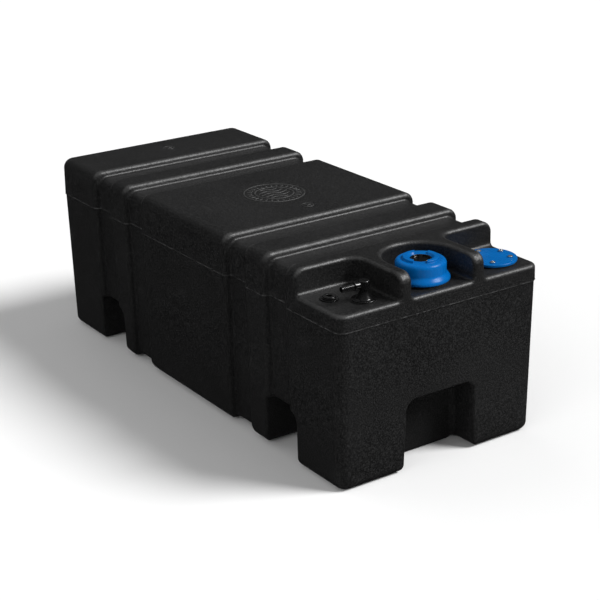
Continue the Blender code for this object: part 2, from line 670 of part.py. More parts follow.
def build_elbow(black, stem_top):
    """Elbow with a barbed spout towards -X, turning on the stem."""
    bore = OUTLET_STEM + RUN
    roof = ELBOW_TOP - ELBOW_ROOF
    cap_hole = BUTTON_RADIUS - BUTTON_OVERLAP
    elbow = turned("outlet_elbow", [
        (0.0, ELBOW_START), (ELBOW_RADIUS - ELBOW_FOOT_CHAMFER, ELBOW_START),
        (ELBOW_RADIUS, ELBOW_START + ELBOW_FOOT_CHAMFER), (ELBOW_RADIUS, ELBOW_TOP - ELBOW_CHAMFER),
        (ELBOW_RADIUS - ELBOW_CHAMFER, ELBOW_TOP), (0.0, ELBOW_TOP),
    ], black, OUTLET_AXIS, 24)
    collar = ELBOW_RADIUS + BARB_COLLAR_ROOM
    behind = collar + BARB_COLLAR_WIDTH
    outline = [(0.0, 0.0), (BARB_SLEEVE, 0.0), (BARB_SLEEVE, collar),
               (BARB_COLLAR, collar), (BARB_COLLAR, behind), (BARB_RADIUS, behind)]
    first = BARB_REACH - BARB_END - BARB_RIDGES * BARB_PITCH
    for index in range(BARB_RIDGES):
        start = first + index * BARB_PITCH
        outline += [(BARB_RADIUS, start), (BARB_RIDGE, start + BARB_STEP), (BARB_RADIUS, start + BARB_PITCH)]
    outline += [(BARB_TIP, BARB_REACH), (0.0, BARB_REACH)]
    centre = (OUTLET_AXIS[0], OUTLET_AXIS[1], DECK + BARB_HEIGHT)
    spout = turned("join_spout", outline, None, centre, 16)
    spout.rotation_euler = (0.0, -math.pi / 2, 0.0)
    combine(elbow, spout, "UNION")
    hollow = turned("cut_elbow", [
        (0.0, ELBOW_START - BEYOND), (bore, ELBOW_START - BEYOND), (bore, stem_top + RUN),
        (OUTLET_BORE, stem_top + RUN), (OUTLET_BORE, roof), (cap_hole, roof),
        (cap_hole, ELBOW_TOP + BEYOND), (0.0, ELBOW_TOP + BEYOND),
    ], None, OUTLET_AXIS, 24)
    combine(elbow, hollow, "DIFFERENCE")
    passage = rod("cut_spout", BARB_BORE, 0.0, BARB_REACH + BEYOND, centre, 16)
    passage.rotation_euler = (0.0, -math.pi / 2, 0.0)
    combine(elbow, passage, "DIFFERENCE")
    turned("elbow_button", [
        (0.0, roof), (cap_hole - GAP, roof), (cap_hole - GAP, ELBOW_TOP + GAP),
        (BUTTON_RADIUS, ELBOW_TOP + GAP), (BUTTON_RADIUS, ELBOW_TOP + GAP + 0.5 * BUTTON_HEIGHT),
        (0.7 * BUTTON_RADIUS, ELBOW_TOP + GAP + BUTTON_HEIGHT), (0.0, ELBOW_TOP + GAP + BUTTON_HEIGHT),
    ], black, OUTLET_AXIS, 16)


def build_dip_tube(black, clear_plastic):
    """Suction tube down to a slotted strainer just above the tank's floor."""
    foot = WALL + STRAINER_CLEARANCE - DECK
    top = -OUTLET_TAIL + DIP_SOCKET - GAP
    lip = foot + STRAINER_HEIGHT
    socket = DIP_RADIUS + GAP
    seat = lip - STRAINER_SEAT
    throat = seat - STRAINER_LEDGE
    roof = throat - STRAINER_WALL
    ring("dip_tube", DIP_BORE, DIP_RADIUS, seat + GAP, top, clear_plastic, OUTLET_AXIS, 16)
    inner = STRAINER_RADIUS - STRAINER_WALL
    strainer = turned("strainer", [
        (0.0, foot), (STRAINER_RADIUS, foot), (STRAINER_RADIUS, lip - STRAINER_LEDGE),
        (STRAINER_RADIUS - STRAINER_LEDGE, lip), (socket, lip), (socket, seat), (DIP_BORE, seat),
        (DIP_BORE, throat), (inner, roof), (inner, foot + STRAINER_WALL),
        (0.0, foot + STRAINER_WALL),
    ], black, OUTLET_AXIS, 24)
    for index in range(STRAINER_SLOTS // 2):
        slot = box("cut_strainer_%d" % (index + 1),
                   (-BEYOND, -STRAINER_SLOT_WIDTH / 2, foot + STRAINER_SLOT_FOOT),
                   (BEYOND, STRAINER_SLOT_WIDTH / 2, roof - STRAINER_LEDGE),
                   OUTLET_AXIS, math.pi * (2 * index + 1) / STRAINER_SLOTS)
        combine(strainer, slot, "DIFFERENCE")


# --- Blanking plug ----------------------------------------------------------------------------------

def build_plug(black, rubber):
    """Blanking plug in a bush that is moulded into the deck."""
    ledge = GAP + BUSH_FLANGE_THICKNESS
    turned("plug_bush", [
        (PLUG_RADIUS + GAP, -WALL - BUSH_TAIL), (BUSH_RADIUS, -WALL - BUSH_TAIL), (BUSH_RADIUS, GAP),
        (BUSH_FLANGE, GAP), (BUSH_FLANGE, ledge), (PLUG_RADIUS + GAP, ledge),
    ], black, PLUG_AXIS, 24)
    seal = ledge + GAP + PLUG_ORING
    ring("plug_oring", PLUG_RADIUS + GAP, PLUG_HEAD - PLUG_ORING_INSET, ledge + GAP, seal,
         rubber, PLUG_AXIS, 24)
    head = seal + GAP
    top = head + PLUG_HEAD_HEIGHT
    plug = turned("blank_plug", [
        (0.0, -WALL - PLUG_TAIL), (PLUG_RADIUS, -WALL - PLUG_TAIL), (PLUG_RADIUS, head), (PLUG_HEAD, head),
        (PLUG_HEAD, top - PLUG_CHAMFER), (PLUG_HEAD - PLUG_CHAMFER, top), (0.0, top),
    ], black, PLUG_AXIS, 24)
    socket = rod("cut_plug_socket", PLUG_SOCKET, head - PLUG_SOCKET_FLOOR, top + BEYOND, PLUG_AXIS, 6)
    combine(plug, socket, "DIFFERENCE")


def main():
    """Build every piece."""
    clear_scene()
    polyethylene = material("black_polyethylene", (0.012, 0.012, 0.013), 0.62)
    blue = material("blue_plastic", (0.005, 0.12, 0.45), 0.32)
    black = material("black_nylon", (0.010, 0.010, 0.011), 0.25)
    rubber = material("black_rubber", (0.018, 0.018, 0.018), 0.80)
    foam = material("filter_foam", (0.10, 0.10, 0.10), 0.95)
    steel = material("stainless_steel", (0.62, 0.62, 0.60), 0.28, 1.0)
    brass = material("brass", (0.70, 0.50, 0.20), 0.35, 1.0)
    clear_plastic = material("natural_tube", (0.55, 0.55, 0.50), 0.40)
    build_shell(polyethylene)
    build_neck(black, rubber)
    build_cap(blue, black, rubber, foam)
    build_sender(blue, rubber, steel, brass)
    build_outlet(black, rubber, clear_plastic)
    build_plug(black, rubber)


main()
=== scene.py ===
"""Looks for the fresh water tank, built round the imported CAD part.

The moulded body and the small fittings are signed distances that are turned into smooth meshes. The
other CAD nodes stay and get a procedural material.
"""

import json
import math

import bmesh
import bpy
import numpy as np
from mathutils import Matrix, Vector


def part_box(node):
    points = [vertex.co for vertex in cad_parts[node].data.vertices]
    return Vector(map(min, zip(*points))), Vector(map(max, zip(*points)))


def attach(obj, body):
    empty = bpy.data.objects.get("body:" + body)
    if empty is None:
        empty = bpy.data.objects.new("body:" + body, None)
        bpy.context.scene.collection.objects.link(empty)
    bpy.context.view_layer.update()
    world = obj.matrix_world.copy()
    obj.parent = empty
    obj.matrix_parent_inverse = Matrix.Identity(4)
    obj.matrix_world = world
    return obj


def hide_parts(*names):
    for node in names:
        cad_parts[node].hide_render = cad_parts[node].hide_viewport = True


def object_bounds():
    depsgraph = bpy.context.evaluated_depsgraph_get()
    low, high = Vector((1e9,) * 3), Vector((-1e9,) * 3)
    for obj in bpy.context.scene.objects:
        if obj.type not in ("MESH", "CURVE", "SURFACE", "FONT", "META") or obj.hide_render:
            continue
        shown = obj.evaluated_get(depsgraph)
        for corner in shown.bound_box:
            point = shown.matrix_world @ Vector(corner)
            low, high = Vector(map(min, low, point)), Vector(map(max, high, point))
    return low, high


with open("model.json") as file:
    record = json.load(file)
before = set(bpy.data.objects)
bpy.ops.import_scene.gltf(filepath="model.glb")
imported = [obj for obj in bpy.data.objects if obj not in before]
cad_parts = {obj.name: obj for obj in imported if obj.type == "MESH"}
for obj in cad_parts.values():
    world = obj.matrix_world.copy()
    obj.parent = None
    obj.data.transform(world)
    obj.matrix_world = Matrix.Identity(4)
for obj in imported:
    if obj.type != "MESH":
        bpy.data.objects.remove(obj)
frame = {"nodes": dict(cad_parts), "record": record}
START_LOW, START_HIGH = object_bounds()

# --- Sizes read from the CAD part -------------------------------------------------------------------
MM = 0.001
SEAT_GAP = 0.3 * MM
SHELL_LOW, SHELL_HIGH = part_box("tank_shell")
CAP_LOW, CAP_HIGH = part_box("filler_cap")
VENT_LOW, VENT_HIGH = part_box("vent_insert")
SENDER_LOW, SENDER_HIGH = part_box("sender_plate")
BASE_LOW, BASE_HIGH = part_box("outlet_base")
ELBOW_LOW, ELBOW_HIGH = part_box("outlet_elbow")
PLUG_LOW, PLUG_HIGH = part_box("blank_plug")
BUSH_LOW, BUSH_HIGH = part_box("plug_bush")
WIDTH = SHELL_HIGH.x - SHELL_LOW.x
HEIGHT = SHELL_HIGH.z - SHELL_LOW.z
FRONT = SHELL_LOW.y
REAR = SHELL_HIGH.y
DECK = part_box("sender_gasket")[0].z - SEAT_GAP
CAP_CENTRE = (CAP_LOW + CAP_HIGH) / 2
SENDER_CENTRE = (SENDER_LOW + SENDER_HIGH) / 2
BASE_CENTRE = (BASE_LOW + BASE_HIGH) / 2
PLUG_CENTRE = (PLUG_LOW + PLUG_HIGH) / 2
SEATS = {mount["name"]: mount["pos_m"] for mount in frame["record"]["mounts"]}
GROOVES = sorted(SEATS[name][1] for name in SEATS if name.startswith("strap_seat"))
SENDER_SCREWS = range(1, 6)

# --- Moulded body: sizes ----------------------------------------------------------------------------
DRAFT = 0.0124
TOP_RADIUS = 17 * MM
FRONT_RADIUS = 16 * MM
REAR_RADIUS = 21 * MM

PARTING = HEIGHT - 61.5 * MM
PARTING_STEP = 0.9 * MM
FLASH_HEIGHT = 0.45 * MM
FLASH_RISE = 0.5 * MM
FLASH_WIDTH = 0.8 * MM
FLECK_WAVES = ((210, 0), (387, 1.3), (711, 0.4))

GROOVE_HALF = 25.1 * MM
GROOVE_CONVEX = 7.5 * MM
GROOVE_CONCAVE = 4 * MM
GROOVE_CORNER = TOP_RADIUS - 4 * MM
TOP_DEPTH = 10.5 * MM
SIDE_DEPTH = 10 * MM
BOTTOM_DEPTH = 5 * MM
BOTTOM_CORNER = 6 * MM

BAY_RADIUS = 53.5 * MM
BAY_BACK = FRONT + 102.5 * MM
LEFT_EDGE = -73.5 * MM
RIGHT_EDGE = 73 * MM
BAY_CORNER = 23 * MM
BAY_FILLET = 5.5 * MM
BAY_LIP = 5.5 * MM

MOUTH_LIP = 3.5 * MM
NOTCH_AHEAD = 43.5 * MM
NOTCH_BEHIND = 33 * MM
NOTCH_HEIGHT = 79 * MM
NOTCH_REAR_CORNER = 5 * MM
NOTCH_FRONT_CORNER = 16 * MM
HOLD_HALF = 63 * MM
HOLD_NARROWING = 4 * MM
HOLD_HEIGHT = 107.5 * MM
HOLD_DEPTH = 51 * MM
HOLD_CORNER = 15 * MM
HOLD_FILLET = 9 * MM

FOOT_RADIUS = 13 * MM
BELLY_EXTRA = 7 * MM
HOLD_LESS = 8 * MM

MARK_LIP = 0.5 * MM
BADGE_CENTRE = Vector((0, 9 * MM, HEIGHT))
BADGE_RADIUS = 52.5 * MM
BADGE_DEPTH = 0.8 * MM
SPOT_CENTRES = (Vector((2 * MM, 339.5 * MM, HEIGHT)), Vector((5.5 * MM, -73.6 * MM, HEIGHT)))
SPOT_RADIUS = 11.5 * MM
SPOT_DEPTH = 0.7 * MM
MARK_TOP = HEIGHT - 0.05 * MM

FILLER_BORE = 30.9 * MM
FILLER_DEPTH = 20 * MM
WALL = 5.2 * MM
WELL_HALF_WIDTH = 62 * MM
WELL_HALF_LENGTH = 38 * MM
WELL_SHIFT = 5 * MM
WELL_FLOOR = 130 * MM


# --- Signed distances -------------------------------------------------------------------------------

def both(a, b, radius):
    """Inside both shapes, with the edge between them rounded."""
    along_a = np.maximum(a + radius, 0)
    along_b = np.maximum(b + radius, 0)
    return np.minimum(np.maximum(a, b), -radius) + np.sqrt(along_a * along_a + along_b * along_b)


def less(a, b, radius):
    """Inside the first and outside the second, with the edge rounded."""
    return both(a, -b, radius)


def either(a, b, radius):
    """Inside either shape, with a fillet between them."""
    return -both(-a, -b, radius)


def smooth_step(value, low, high):
    """0 below low, 1 above high."""
    t = np.clip((value - low) / (high - low), 0, 1)
    return t * t * (3 - 2 * t)


def from_axis(x, y, centre):
    """Distance from the upright axis through a point."""
    return np.sqrt((x - centre.x) ** 2 + (y - centre.y) ** 2)


# --- Meshes from signed distances -------------------------------------------------------------------

SETTLE_ROUNDS = 3


def ticks(low, high, bands, fine, coarse):
    """Grid places along one axis: close together in the bands, wider apart between them."""
    places = [low - 1.5 * fine]
    while places[-1] < high + 1.5 * fine:
        here = places[-1]
        close = any(start - fine < here < end for start, end in bands)
        places.append(here + (fine if close else coarse))
    return np.array(places)


def even(low, high, step):
    """Evenly spaced grid round a box."""
    return [ticks(low[i], high[i], (), step, step) for i in range(3)]


def crossed_cells(inside):
    """Grid cells with corners on both sides of the surface, and the number of each of them."""
    count = np.zeros(tuple(size - 1 for size in inside.shape), np.int8)
    spans = (slice(0, -1), slice(1, None))
    for i in range(8):
        count += inside[spans[i & 1], spans[i >> 1 & 1], spans[i >> 2 & 1]]
    cells = np.argwhere((count > 0) & (count < 8))
    number = np.full(count.shape, -1, np.int32)
    number[tuple(cells.T)] = np.arange(len(cells))
    return cells, number


def cell_centres(values, axes, cells):
    """One point in each cell: the middle of the places where its edges cross the surface."""
    points = np.zeros((len(cells), 3))
    crossings = np.zeros((len(cells), 1))
    for axis in range(3):
        for i in range(4):
            start = np.zeros(3, int)
            start[(axis + 1) % 3] = i & 1
            start[(axis + 2) % 3] = i >> 1
            end = start.copy()
            end[axis] = 1
            near = cells + start
            far = cells + end
            a = values[tuple(near.T)]
            b = values[tuple(far.T)]
            crossed = (a < 0) != (b < 0)
            t = np.where(crossed, a / np.where(crossed, a - b, 1), 0)[:, None]
            near_place = np.stack([axes[k][near[:, k]] for k in range(3)], 1)
            far_place = np.stack([axes[k][far[:, k]] for k in range(3)], 1)
            points += crossed[:, None] * (near_place * (1 - t) + far_place * t)
            crossings += crossed[:, None]
    return points / crossings


def cell_faces(inside, number):
    """A quad across each grid edge that crosses the surface, facing out."""
    faces = []
    for axis in range(3):
        lower = [slice(None)] * 3
        upper = [slice(None)] * 3
        lower[axis] = slice(0, -1)
        upper[axis] = slice(1, None)
        edges = np.argwhere(inside[tuple(lower)] != inside[tuple(upper)])
        entering = inside[tuple(lower)][tuple(edges.T)]
        corners = []
        for back_one, back_two in ((1, 1), (0, 1), (0, 0), (1, 0)):
            cell = edges.copy()
            cell[:, (axis + 1) % 3] -= back_one
            cell[:, (axis + 2) % 3] -= back_two
            corners.append(number[tuple(cell.T)])
        quads = np.stack(corners, 1)
        quads[~entering] = quads[~entering][:, ::-1]
        faces.append(quads)
    return np.concatenate(faces)


def settle(field, points, step):
    """Move points towards the zero level along the distance's slope."""
    x, y, z = points.T
    nudge = step * 0.1
    value = field(x, y, z)
    slope = np.stack([field(x + nudge, y, z) - field(x - nudge, y, z),
                      field(x, y + nudge, z) - field(x, y - nudge, z),
                      field(x, y, z + nudge) - field(x, y, z - nudge)], 1) / (2 * nudge)
    size = np.maximum((slope ** 2).sum(1), 0.25)
    move = slope * (value / size)[:, None]
    far = np.linalg.norm(move, axis=1)
    move *= np.minimum(1, 0.5 * step / np.maximum(far, 1e-9))[:, None]
    return points - move


def surface(field, axes, step):
    """Quads on the zero level of a signed distance, with each corner moved onto it."""
    x, y, z = np.meshgrid(*[places.astype(np.float32) for places in axes], indexing="ij", sparse=True)
    values = field(x, y, z).astype(np.float32)
    inside = values < 0
    cells, number = crossed_cells(inside)
    points = cell_centres(values, axes, cells)
    for _ in range(SETTLE_ROUNDS):
        points = settle(field, points, step)
    return points, cell_faces(inside, number)


def mesh_object(name, points, faces):
    """Object from arrays of points and quads."""
    mesh = bpy.data.meshes.new(name)
    mesh.vertices.add(len(points))
    mesh.vertices.foreach_set("co", points.astype(np.float32).ravel())
    mesh.loops.add(faces.size)
    mesh.loops.foreach_set("vertex_index", faces.astype(np.int32).ravel())
    mesh.polygons.add(len(faces))
    mesh.polygons.foreach_set("loop_start", np.arange(0, faces.size, 4, dtype=np.int32))
    mesh.polygons.foreach_set("loop_total", np.full(len(faces), 4, np.int32))
    mesh.update(calc_edges=True)
    mesh.validate()
    mesh.shade_smooth()
    made = bpy.data.objects.new(name, mesh)
    bpy.context.scene.collection.objects.link(made)
    return made


def sculpt(name, field, axes, step, look, *nodes):
    """Piece made from a signed distance, which stands for some CAD nodes. A look is the body that it
    rides on, the record's material slot, which is not used, and the material."""
    body, slot, finish_material = look
    points, faces = surface(field, axes, step)
    piece = mesh_object(name, points, faces)
    piece.data.materials.append(finish_material)
    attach(piece, body)
    if nodes:
        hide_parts(*nodes)


# --- Materials --------------------------------------------------------------------------------------

PE_COLOUR = (0.0030, 0.0030, 0.0031)
PE_CLOUD = (0.0058, 0.0058, 0.0060)
PE_SCUFF = (0.034, 0.034, 0.034)
# Colour of the painted highlight on the upper convex edges.
PE_PAINTED_HIGHLIGHT = (0.075, 0.075, 0.075)
PE_FLASH = (0.060, 0.060, 0.060)
PE_ROUGHNESS = 0.43
PE_SPECULAR = 0.40
BLUE = (0.0005, 0.112, 0.375)
BLUE_DEEP = (0.0004, 0.098, 0.335)
BLACK = (0.0040, 0.0040, 0.0042)
BLACK_DEEP = (0.0030, 0.0030, 0.0032)
RUBBER = (0.014, 0.014, 0.014)
FOAM = (0.10, 0.10, 0.10)
STEEL = (0.78, 0.78, 0.76)
BRASS = (0.72, 0.52, 0.22)
NATURAL = (0.55, 0.55, 0.50)
NATURAL_DEEP = (0.48, 0.48, 0.43)
PAPER = (0.80, 0.80, 0.80)


class Finish:
    """A Principled material with shorthand for adding nodes."""

    def __init__(self, name, colour, roughness, metallic=0.0, specular=0.5):
        self.material = bpy.data.materials.new(name)
        self.material.use_nodes = True
        self.tree = self.material.node_tree
        self.shader = self.tree.nodes["Principled BSDF"]
        self.shader.inputs["Base Color"].default_value = (*colour, 1)
        self.shader.inputs["Roughness"].default_value = roughness
        self.shader.inputs["Metallic"].default_value = metallic
        self.shader.inputs["Specular IOR Level"].default_value = specular
        self.place = self.tree.nodes.new("ShaderNodeTexCoord").outputs["Object"]
        self.normal = None

    def noise(self, scale, detail=2.0, stretch=(1, 1, 1), rough=0.5):
        """Noise with this many lumps a metre."""
        mapping = self.tree.nodes.new("ShaderNodeMapping")
        mapping.inputs["Scale"].default_value = stretch
        self.tree.links.new(self.place, mapping.inputs["Vector"])
        node = self.tree.nodes.new("ShaderNodeTexNoise")
        node.inputs["Scale"].default_value = scale
        node.inputs["Detail"].default_value = detail
        node.inputs["Roughness"].default_value = rough
        self.tree.links.new(mapping.outputs["Vector"], node.inputs["Vector"])
        return node.outputs["Fac"]

    def height_of(self, vector):
        """Z part of a vector."""
        split = self.tree.nodes.new("ShaderNodeSeparateXYZ")
        self.tree.links.new(vector, split.inputs["Vector"])
        return split.outputs["Z"]

    def spread(self, source, low, high, to_low=0, to_high=1):
        """Map a range of a value onto another range."""
        node = self.tree.nodes.new("ShaderNodeMapRange")
        node.inputs["From Min"].default_value = low
        node.inputs["From Max"].default_value = high
        node.inputs["To Min"].default_value = to_low
        node.inputs["To Max"].default_value = to_high
        self.tree.links.new(source, node.inputs["Value"])
        return node.outputs["Result"]

    def maths(self, operation, a, b):
        """Sum, product and so on of two values."""
        node = self.tree.nodes.new("ShaderNodeMath")
        node.operation = operation
        for index, value in enumerate((a, b)):
            if isinstance(value, (int, float)):
                node.inputs[index].default_value = value
            else:
                self.tree.links.new(value, node.inputs[index])
        return node.outputs["Value"]

    def blend(self, factor, first, second):
        """Colour between two, by a factor."""
        node = self.tree.nodes.new("ShaderNodeMix")
        node.data_type = "RGBA"
        self.tree.links.new(factor, node.inputs["Factor"])
        for socket, colour in zip((node.inputs[6], node.inputs[7]), (first, second)):
            if isinstance(colour, tuple):
                socket.default_value = (*colour, 1)
            else:
                self.tree.links.new(colour, socket)
        return node.outputs[2]

    def bump(self, height, depth):
        """Add relief of this depth in metres."""
        node = self.tree.nodes.new("ShaderNodeBump")
        node.inputs["Distance"].default_value = depth
        self.tree.links.new(height, node.inputs["Height"])
        if self.normal is not None:
            self.tree.links.new(self.normal, node.inputs["Normal"])
        self.normal = node.outputs["Normal"]
        self.tree.links.new(self.normal, self.shader.inputs["Normal"])

    def drive(self, socket, source):
        """Feed a value to one of the shader's sockets."""
        self.tree.links.new(source, self.shader.inputs[socket])


def painted_edge_highlight(finish):
    """1 on the upper side of convex edges, which get a painted highlight, and 0 elsewhere."""
    geometry = finish.tree.nodes.new("ShaderNodeNewGeometry")
    upward = finish.spread(finish.height_of(geometry.outputs["Normal"]), 0.15, 0.60)
    bent = finish.spread(geometry.outputs["Pointiness"], 0.508, 0.555)
    patchy = finish.spread(finish.noise(70, detail=3.0), 0.3, 0.6, 0.35, 1)
    return finish.maths("MULTIPLY", finish.maths("MULTIPLY", bent, upward), patchy)


def flash_line(finish):
    """1 on broken flecks along the mould's parting line, and 0 elsewhere."""
    height = finish.maths("SUBTRACT", finish.height_of(finish.place), PARTING + 0.6 * MM)
    near = finish.spread(finish.maths("ABSOLUTE", height, 0), 0.5 * MM, 1.3 * MM, 1, 0)
    flecks = finish.spread(finish.noise(150, detail=4.0, rough=0.7), 0.44, 0.62, 0.1, 1)
    return finish.maths("MULTIPLY", near, flecks)


def moulded_polyethylene():
    """Black rotomoulded polyethylene: satin, pebbled, with soft waves, light specks and scuffs, and a
    painted highlight on the upper convex edges.
    """
    finish = Finish("tank_polyethylene", PE_COLOUR, PE_ROUGHNESS, specular=PE_SPECULAR)
    grain = finish.noise(900, detail=3.0)
    peel = finish.noise(320, detail=3.0)
    waves = finish.noise(14, detail=1.5)
    clouds = finish.noise(7, detail=3.0)
    scuffs = finish.spread(finish.noise(60, detail=5.0, stretch=(1, 0.25, 1), rough=0.7), 0.60, 0.74)
    speckle = finish.spread(finish.noise(520, detail=4.0, rough=0.7), 0.45, 0.72)
    tone = finish.blend(finish.spread(clouds, 0.3, 0.7), PE_COLOUR, PE_CLOUD)
    tone = finish.blend(finish.maths("MULTIPLY", speckle, 0.9), tone, PE_SCUFF)
    tone = finish.blend(finish.maths("MULTIPLY", scuffs, 0.35), tone, PE_SCUFF)
    # Painted highlight: the upper convex edges are lightened towards the highlight colour.
    tone = finish.blend(painted_edge_highlight(finish), tone, PE_PAINTED_HIGHLIGHT)
    finish.drive("Base Color", finish.blend(flash_line(finish), tone, PE_FLASH))
    rough = finish.spread(peel, 0.3, 0.7, PE_ROUGHNESS - 0.03, PE_ROUGHNESS + 0.03)
    rough = finish.maths("ADD", rough, finish.spread(clouds, 0.3, 0.7, -0.03, 0.04))
    finish.drive("Roughness", finish.maths("ADD", rough, finish.maths("MULTIPLY", scuffs, -0.06)))
    finish.bump(waves, 0.9 * MM)
    finish.bump(peel, 0.48 * MM)
    finish.bump(grain, 0.18 * MM)
    return finish.material


def moulded_plastic(name, colour, deep, roughness, specular=0.5):
    """Glossy injection-moulded plastic with faint flow marks and fine scratches."""
    finish = Finish(name, colour, roughness, specular=specular)
    flow = finish.noise(45, detail=2.0)
    fine = finish.noise(1500, detail=2.0)
    scratches = finish.noise(300, detail=6.0, stretch=(1, 0.08, 0.3), rough=0.75)
    finish.drive("Base Color", finish.blend(finish.spread(flow, 0.3, 0.7), colour, deep))
    rough = finish.spread(scratches, 0.45, 0.75, roughness - 0.03, roughness + 0.12)
    finish.drive("Roughness", rough)
    finish.bump(flow, 0.05 * MM)
    finish.bump(fine, 0.006 * MM)
    return finish.material


def rubber_finish(name, colour, roughness):
    """Matt rubber or foam with a fine bloom."""
    finish = Finish(name, colour, roughness, specular=0.3)
    bloom = finish.noise(400, detail=4.0)
    lighter = tuple(min(1, 1.6 * part + 0.004) for part in colour)
    finish.drive("Base Color", finish.blend(finish.spread(bloom, 0.4, 0.7), colour, lighter))
    finish.drive("Roughness", finish.spread(bloom, 0.3, 0.7, roughness - 0.06, roughness + 0.06))
    finish.bump(bloom, 0.04 * MM)
    return finish.material


def turned_metal(name, colour, roughness):
    """Machined metal with fine turning marks."""
    finish = Finish(name, colour, roughness, metallic=1.0)
    lines = finish.noise(2500, detail=3.0, stretch=(1, 1, 6))
    blotch = finish.noise(300, detail=3.0)
    darker = tuple(0.72 * part for part in colour)
    finish.drive("Base Color", finish.blend(finish.spread(blotch, 0.35, 0.7), colour, darker))
    finish.drive("Roughness", finish.spread(lines, 0.3, 0.7, roughness - 0.05, roughness + 0.10))
    finish.bump(lines, 0.008 * MM)
    return finish.material


def floor_finish():
    """Plain matt paper."""
    finish = Finish("studio_floor", PAPER, 0.9, specular=0.1)
    finish.bump(finish.noise(500, detail=2.0), 0.02 * MM)
    return finish.material


polyethylene = moulded_polyethylene()
blue = moulded_plastic("cap_blue", BLUE, BLUE_DEEP, 0.28, 0.12)
black = moulded_plastic("fitting_black", BLACK, BLACK_DEEP, 0.22, 0.55)
rubber = rubber_finish("seal_rubber", RUBBER, 0.75)
foam = rubber_finish("filter_foam", FOAM, 0.92)
steel = turned_metal("screw_steel", STEEL, 0.22)
brass = turned_metal("insert_brass", BRASS, 0.32)
natural = moulded_plastic("tube_natural", NATURAL, NATURAL_DEEP, 0.40)

BODY_LOOK = ("tank", "black_polyethylene", polyethylene)
CAP_LOOK = ("cap", "blue_plastic", blue)
VENT_LOOK = ("cap", "black_nylon", black)
COVER_LOOK = ("tank", "blue_plastic", blue)
SCREW_LOOK = ("tank", "stainless_steel", steel)
FITTING_LOOK = ("tank", "black_nylon", black)
ELBOW_LOOK = ("elbow", "black_nylon", black)


# --- Moulded body -----------------------------------------------------------------------------------

def parting_line(x, y, z):
    """How far the wall sits in at the mould's parting line. The lower half is a little smaller, and
    broken flecks of flash stand out along the join."""
    step = PARTING_STEP * (1 - smooth_step(z, PARTING - 0.7 * MM, PARTING + 0.1 * MM))
    along = x + y
    flecks = sum(np.sin(along * rate + start) for rate, start in FLECK_WAVES)
    above = (z - PARTING - FLASH_RISE) / FLASH_WIDTH
    flash = smooth_step(flecks, 0.2, 1.6) * np.exp(-above ** 2)
    return step + FLASH_HEIGHT * (1 - flash)


def side_bay(from_edge, y):
    """Plan of a bay that is open at the front and at one side."""
    return both(from_edge, y - BAY_BACK, BAY_CORNER)


def bay_plans(x, y):
    """Plans of the three bays: the outlet's, the sender's and the round-backed one of the filler."""
    middle = np.sqrt(x * x + np.maximum(y - CAP_CENTRE.y, 0) ** 2) - BAY_RADIUS
    return side_bay(x - LEFT_EDGE, y), side_bay(RIGHT_EDGE - x, y), middle


def notch_cutter(y, z, centre):
    """A strap notch across the underside."""
    shape = both(z - NOTCH_HEIGHT, y - centre - NOTCH_BEHIND, NOTCH_REAR_CORNER)
    return both(shape, centre - NOTCH_AHEAD - y, NOTCH_FRONT_CORNER)


def hold_cutter(x, y, z):
    """The hand hold in the front face, which narrows upwards."""
    half = HOLD_HALF - HOLD_NARROWING * z / HOLD_HEIGHT
    shape = both(np.abs(x) - half, z - HOLD_HEIGHT, HOLD_CORNER)
    return both(shape, y - (FRONT + HOLD_DEPTH), HOLD_FILLET)


def foot_edge(x, y):
    """Radius of the body's lower edge: larger under the belly, smaller under the hand hold."""
    belly = smooth_step(y, GROOVES[0] - 45 * MM, GROOVES[0] + 60 * MM)
    belly = belly * (1 - smooth_step(y, GROOVES[-1] - 60 * MM, GROOVES[-1] + 45 * MM))
    near_front = smooth_step(-y, -FRONT - 80 * MM, -FRONT - 60 * MM)
    near_middle = smooth_step(-np.abs(x), -61 * MM, -52 * MM)
    return FOOT_RADIUS + BELLY_EXTRA * belly - HOLD_LESS * near_front * near_middle


def recess(x, y, z, centre, radius, depth):
    """Shallow round recess in the lid."""
    return np.maximum(from_axis(x, y, centre) - radius, HEIGHT - depth - z)


def filler_room(x, y, z):
    """The filler's bore and the part of the cavity that shows through it."""
    bore = np.maximum(from_axis(x, y, CAP_CENTRE) - FILLER_BORE, DECK - FILLER_DEPTH - z)
    length = np.abs(y - CAP_CENTRE.y - WELL_SHIFT) - WELL_HALF_LENGTH
    plan = np.maximum(np.abs(x) - WELL_HALF_WIDTH, length)
    well = np.maximum(plan, np.maximum(z - DECK + WALL, WELL_FLOOR - z))
    return np.minimum(bore, well)


def tank(x, y, z):
    """Signed distance of the moulded body; the cavity is opened up only round the filler."""
    lean = DRAFT * np.abs(z - PARTING) + parting_line(x, y, z)
    side = np.abs(x) - WIDTH / 2 + lean
    top = z - HEIGHT
    body = both(side, top, TOP_RADIUS)
    body = both(body, FRONT - y + lean, FRONT_RADIUS)
    body = both(body, y - REAR + lean, REAR_RADIUS)
    seat = both(side + SIDE_DEPTH, top + TOP_DEPTH, GROOVE_CORNER)
    seat = both(seat, BOTTOM_DEPTH - z, BOTTOM_CORNER)
    for centre in GROOVES:
        groove = both(np.abs(y - centre) - GROOVE_HALF, -seat, GROOVE_CONCAVE)
        body = less(body, groove, GROOVE_CONVEX)
    for plan in bay_plans(x, y):
        body = less(body, both(plan, DECK - z, BAY_FILLET), BAY_LIP)
    for centre in (GROOVES[0], GROOVES[-1]):
        body = less(body, notch_cutter(y, z, centre), MOUTH_LIP)
    body = less(body, hold_cutter(x, y, z), MOUTH_LIP)
    body = both(body, -z, foot_edge(x, y))
    body = less(body, recess(x, y, z, BADGE_CENTRE, BADGE_RADIUS, BADGE_DEPTH), MARK_LIP)
    for centre in SPOT_CENTRES:
        body = less(body, recess(x, y, z, centre, SPOT_RADIUS, SPOT_DEPTH), MARK_LIP)
    return np.maximum(body, -filler_room(x, y, z))


